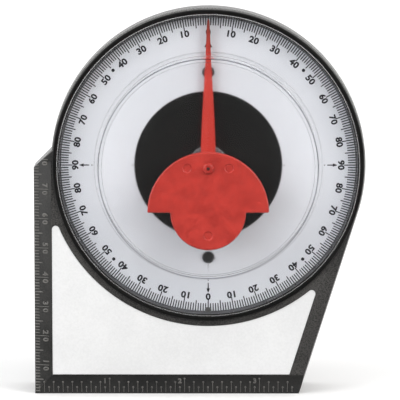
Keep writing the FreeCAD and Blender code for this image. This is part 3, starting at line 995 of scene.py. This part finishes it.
def build_lens():
    profile = rounded(
        [
            (0.0, DOME_FRONT), (DOME_TOP_RADIUS, DOME_FRONT), (DOME_FOOT_RADIUS, LENS_FRONT),
            (LENS_RADIUS, LENS_FRONT), (LENS_RADIUS, LENS_SEAT_DEPTH),
            (DOME_INNER_FOOT_RADIUS, LENS_SEAT_DEPTH), (DOME_INNER_TOP_RADIUS, DOME_INSIDE),
            (0.0, DOME_INSIDE),
        ],
        [0, 0.25, 0.4, 0.3, 0.15, 0.2, 0.15, 0], 6,
    )
    return lathe(profile, steps=256)


def within(tree, value, low, high):
    """One where a length lies between two limits in millimetres, otherwise zero."""
    above = maths(tree, "GREATER_THAN", value, low * MILLIMETRE)
    return maths(tree, "MULTIPLY", above, maths(tree, "LESS_THAN", value, high * MILLIMETRE))


def blend(tree, share, first, second):
    """Mix of two shaders."""
    mix = tree.nodes.new("ShaderNodeMixShader")
    for socket, source in zip(mix.inputs, (share, first, second)):
        tree.links.new(source, socket)
    return mix.outputs["Shader"]


def clear_acrylic():
    """Clear plastic that lets light through to the dial. Its raised face is slightly hazy from handling.
    Thin dark lines of painted shade lie on its corners, and a pale ring of painted highlight lies on its
    outer edge."""
    material, tree, shader = new_material("clear acrylic")
    shader.inputs["Base Color"].default_value = (0.985, 0.99, 0.995, 1.0)
    shader.inputs["Transmission Weight"].default_value = 1.0
    shader.inputs["IOR"].default_value = 1.49
    shader.inputs["Specular IOR Level"].default_value = 0.15
    point, across, along, up = own_place(tree)
    haze = noise(tree, point, 60.0, 3.0, 0.6)
    raised = maths(tree, "LESS_THAN", along, (FRONT_Y + DOME_INSIDE + 0.2) * MILLIMETRE)
    base_gloss = maths(tree, "MULTIPLY_ADD", raised, 0.10, 0.012)
    gloss = maths(tree, "MULTIPLY_ADD", haze, 0.02, base_gloss)
    tree.links.new(gloss, shader.inputs["Roughness"])
    path = tree.nodes.new("ShaderNodeLightPath")
    through = tree.nodes.new("ShaderNodeBsdfTransparent")
    through.inputs["Color"].default_value = (0.965, 0.968, 0.972, 1.0)
    wall_part = within(tree, along, FRONT_Y + DOME_INSIDE + 0.15, FRONT_Y + LENS_FRONT - 0.25)
    wall = maths(tree, "MULTIPLY", wall_part, 0.7)
    height = maths(tree, "SUBTRACT", up, AXIS_HEIGHT * MILLIMETRE)
    square = maths(tree, "MULTIPLY_ADD", across, across, maths(tree, "MULTIPLY", height, height))
    radius = maths(tree, "SQRT", square)
    # Painted shade: thin dark rings on the dome's corners stand in for the dark lines that refraction makes
    # there.
    corners = 0.0
    for corner, inward, outward, front, back, strength in (
        (DOME_TOP_RADIUS, 0.32, 0.02, DOME_FRONT - 0.1, DOME_FRONT + 0.3, 0.9),
        (DOME_INNER_TOP_RADIUS, 0.15, 0.15, DOME_INSIDE - 0.1, DOME_INSIDE + 0.15, 0.5),
        (DOME_FOOT_RADIUS, 0.2, 0.25, LENS_FRONT - 0.3, LENS_FRONT + 0.1, 0.35),
    ):
        ring = within(tree, radius, corner - inward, corner + outward)
        there = within(tree, along, FRONT_Y + front, FRONT_Y + back)
        line = maths(tree, "MULTIPLY", maths(tree, "MULTIPLY", ring, there), strength)
        corners = maths(tree, "MAXIMUM", corners, line)
    painted_corner_shade = tree.nodes.new("ShaderNodeBsdfTransparent")
    painted_corner_shade.inputs["Color"].default_value = (0.36, 0.37, 0.39, 1.0)
    # Painted highlight: a pale matte ring on the lens's outer edge stands in for the glint of that edge.
    painted_edge_highlight = tree.nodes.new("ShaderNodeBsdfDiffuse")
    painted_edge_highlight.inputs["Color"].default_value = (0.80, 0.80, 0.80, 1.0)
    edge = maths(tree, "MULTIPLY", within(tree, radius, LENS_RADIUS - 0.28, LENS_RADIUS + 0.1), 0.22)
    with_painted_corners = blend(tree, corners, shader.outputs["BSDF"], painted_corner_shade.outputs["BSDF"])
    with_painted_edge = blend(tree, edge, with_painted_corners, painted_edge_highlight.outputs["BSDF"])
    clear = maths(tree, "MAXIMUM", path.outputs["Is Shadow Ray"], wall)
    result = blend(tree, clear, with_painted_edge, through.outputs["BSDF"])
    tree.links.new(result, tree.nodes["Material Output"].inputs["Surface"])
    return material


finish_piece(build_lens(), "lens", [clear_acrylic()], "body", ["lens_cover"])

# Label: a thin satin silver-white plate glued into its pocket on the base. It is left bare. Its face is
# faintly cloudy, and the glue spot behind it shows as a faint ring.
LABEL_GAP = 0.12
LABEL_FRONT = 1.0
GLUE_SPOT = (-13.3, 14.8)

label_satin = surface(
    "label satin", (0.76, 0.765, 0.77), (0.83, 0.835, 0.84), 0.36, 0.7, 24.0, 0.004,
    metallic=0.1, gloss_spread=0.05,
)
label = label_body(LABEL_GAP, LABEL_FRONT, FLAT_DEPTH + LABEL_POCKET_DEPTH)
top, bed = LABEL_FRONT - 0.1, LABEL_FRONT + 0.03
glue_ring = [(1.5, top), (1.75, top), (1.7, bed), (1.55, bed)]
carve(label, lathe(glue_ring, *GLUE_SPOT, 64, closed=True))
round_edges(label, 0.05, 2)
finish_piece(label, "label_plate", [label_satin], "body", ["base_label"])

# Magnets and pole plates: two ferrite bars between two ground steel strips, set into slots of the base.
# Only the strips' lower edges show, in the base face.
ferrite = surface("magnet ferrite", (0.030, 0.030, 0.032), (0.050, 0.050, 0.052), 0.6, 0.3, 4.0, 0.02)
pole_steel = surface(
    "pole plate steel", (0.38, 0.38, 0.39), (0.50, 0.50, 0.51), 0.32, 0.25, 6.0, 0.008, metallic=1.0
)
for node in ("base_magnet_1", "base_magnet_2"):
    dress(node, ferrite)
for node in ("pole_plate_front", "pole_plate_rear"):
    dress(node, pole_steel)

# Rear cover: a flat black moulded plate, let into the back of the housing. It lies on the housing's ledge and
# posts, and has a hole with a counterbore for each screw.
COVER_CLEARANCE = 0.12
COVER_HOLE_RADIUS = 1.5
COUNTERBORE_RADIUS = 2.6
COUNTERBORE_FLOOR = 23.5


def build_cover():
    inset = COVER_INSET + COVER_CLEARANCE
    cover = loft([housing_ring(inset, REAR_DRAFT, depth) for depth in (COVER_DEPTH, HOUSING_DEPTH)])
    for x, z in SCREW_PLACES:
        carve(cover, disc(COVER_HOLE_RADIUS, 20, 30, x, z, 40))
        carve(cover, disc(COUNTERBORE_RADIUS, COUNTERBORE_FLOOR, 30, x, z, 56))
    return round_edges(cover, 0.25)


cover_black = surface(
    "rear cover plastic", (0.015, 0.015, 0.0145), (0.028, 0.027, 0.026), 0.48, 0.5, 14.0, 0.06,
    gloss_spread=0.05,
)
finish_piece(build_cover(), "back_plate", [cover_black], "body", ["rear_cover"])

# Cover screws: zinc-plated steel with flat-topped heads and a cross recess. Each sits in its counterbore and
# holds in a post of the housing.
HEAD_RADIUS = 2.3
HEAD_TOP = 24.9
SHANK_RADIUS = 1.25
SHANK_END = 16.0


def build_screw(x, z):
    profile = rounded(
        [(0, HEAD_TOP), (HEAD_RADIUS, HEAD_TOP), (HEAD_RADIUS, COUNTERBORE_FLOOR),
         (SHANK_RADIUS, COUNTERBORE_FLOOR), (SHANK_RADIUS, SHANK_END + 0.4), (0, SHANK_END)],
        [0, 0.35, 0, 0, 0, 0], 4,
    )
    screw = lathe(profile, x, z, 48)
    for wide, tall in ((1.3, 0.3), (0.3, 1.3)):
        carve(screw, prism(rectangle(x - wide, x + wide, z - tall, z + tall), HEAD_TOP - 0.8, 26))
    return screw


screw_zinc = surface(
    "screw zinc", (0.42, 0.42, 0.41), (0.56, 0.56, 0.54), 0.30, 0.25, 2.0, 0.008, metallic=1.0
)
for count, (x, z) in enumerate(SCREW_PLACES, 1):
    replaced = [f"cover_screw_{count}"]
    finish_piece(build_screw(x, z), f"screw_{count}", [screw_zinc], "body", replaced)

# Studio: a plain white floor in a white surround, lit from above, from the right and from the left. The room
# straight in front of the dial is dark, as behind a real camera, so that black plastic and lens stay clear.
FLOOR_REACH = 6.0
DARK_HALF_WIDTH = 0.06
DARK_START = -0.012
DARK_SPREAD = -1.6
DARK_SHARE_OF_BOUNCE = 0.25

floor_mesh = bpy.data.meshes.new("floor")
floor_corners = rectangle(-FLOOR_REACH, FLOOR_REACH, -FLOOR_REACH, FLOOR_REACH)
floor_mesh.from_pydata([(x, y, 0) for x, y in floor_corners], [], [(0, 1, 2, 3)])
floor = bpy.data.objects.new("floor", floor_mesh)
bpy.context.scene.collection.objects.link(floor)
floor_white, floor_tree, floor_shader = new_material("studio floor")
floor_shader.inputs["Roughness"].default_value = 0.75
floor_shader.inputs["Specular IOR Level"].default_value = 0.2
floor_x, floor_y = own_place(floor_tree)[1:3]
aside = maths(floor_tree, "SUBTRACT", maths(floor_tree, "ABSOLUTE", floor_x), DARK_HALF_WIDTH)
ahead = maths(floor_tree, "MULTIPLY_ADD", floor_y, -1.0, DARK_START)
wedge = maths(floor_tree, "MULTIPLY_ADD", maths(floor_tree, "MAXIMUM", aside, 0.0), DARK_SPREAD, ahead)
shade = carry_range(floor_tree, wedge, -0.006, 0.012)
floor_path = floor_tree.nodes.new("ShaderNodeLightPath")
unseen = maths(floor_tree, "SUBTRACT", 1.0, floor_path.outputs["Is Camera Ray"])
bounce_cut = DARK_SHARE_OF_BOUNCE - 1.0
bounce = maths(floor_tree, "MULTIPLY_ADD", floor_path.outputs["Is Diffuse Ray"], bounce_cut, unseen)
darkness = maths(floor_tree, "MULTIPLY", bounce, shade)
floor_tone = mix_colours(floor_tree, darkness, (0.96, 0.96, 0.96), (0.03, 0.03, 0.03))
floor_tree.links.new(floor_tone, floor_shader.inputs["Base Color"])
floor_mesh.materials.append(floor_white)

world = bpy.data.worlds.new("studio")
bpy.context.scene.world = world
world.use_nodes = True
sky = world.node_tree
sky_way = sky.nodes.new("ShaderNodeTexCoord")
toward_front = sky.nodes.new("ShaderNodeVectorMath")
toward_front.operation = "DOT_PRODUCT"
toward_front.inputs[1].default_value = (0.0, -1.0, 0.0)
sky.links.new(sky_way.outputs["Generated"], toward_front.inputs[0])
sky_level = carry_range(sky, toward_front.outputs["Value"], 0.85, 0.38, 0.05, 0.95)
sky_path = sky.nodes.new("ShaderNodeLightPath")
sky_seen = maths(sky, "MAXIMUM", sky_level, sky_path.outputs["Is Camera Ray"])
sky.links.new(sky_seen, sky.nodes["Background"].inputs["Strength"])
sky.nodes["Background"].inputs["Color"].default_value = (1.0, 1.0, 1.0, 1.0)


def soft_sun(name, heading, height, spread, strength, colour=(1.0, 1.0, 1.0)):
    """Broad even light from far away. The heading is in degrees from straight in front, to the right."""
    light = bpy.data.lights.new(name, "SUN")
    light.angle = math.radians(spread)
    light.energy = strength
    light.color = colour
    turn, rise = math.radians(heading), math.radians(height)
    away = Vector((math.sin(turn) * math.cos(rise), -math.cos(turn) * math.cos(rise), math.sin(rise)))
    lamp = bpy.data.objects.new(name, light)
    lamp.rotation_euler = away.to_track_quat("Z", "Y").to_euler()
    bpy.context.scene.collection.objects.link(lamp)


soft_sun("light_top", 4.0, 50.0, 60.0, 0.75)
soft_sun("light_right", 54.0, 27.0, 34.0, 1.2, (1.0, 0.97, 0.93))
soft_sun("light_left", -56.0, 20.0, 40.0, 1.3)

# Camera: a long lens 0.9 m in front of the dial, a little above it and almost square to it. It looks slightly
# down, so that the top of the drum shows.
camera = bpy.data.cameras.new("camera")
camera.sensor_width = 36.0
camera.lens = 242.48
holder = bpy.data.objects.new("camera", camera)
bpy.context.scene.collection.objects.link(holder)
elevation = math.radians(6.58)
heading = math.radians(-0.22)
holder.location = (0.0007, -0.9125, 0.17035)
level = math.cos(elevation)
look = Vector((math.sin(heading) * level, math.cos(heading) * level, -math.sin(elevation)))
holder.rotation_euler = look.to_track_quat("-Z", "Y").to_euler()
bpy.context.scene.camera = holder
bpy.context.scene.view_settings.view_transform = "Standard"
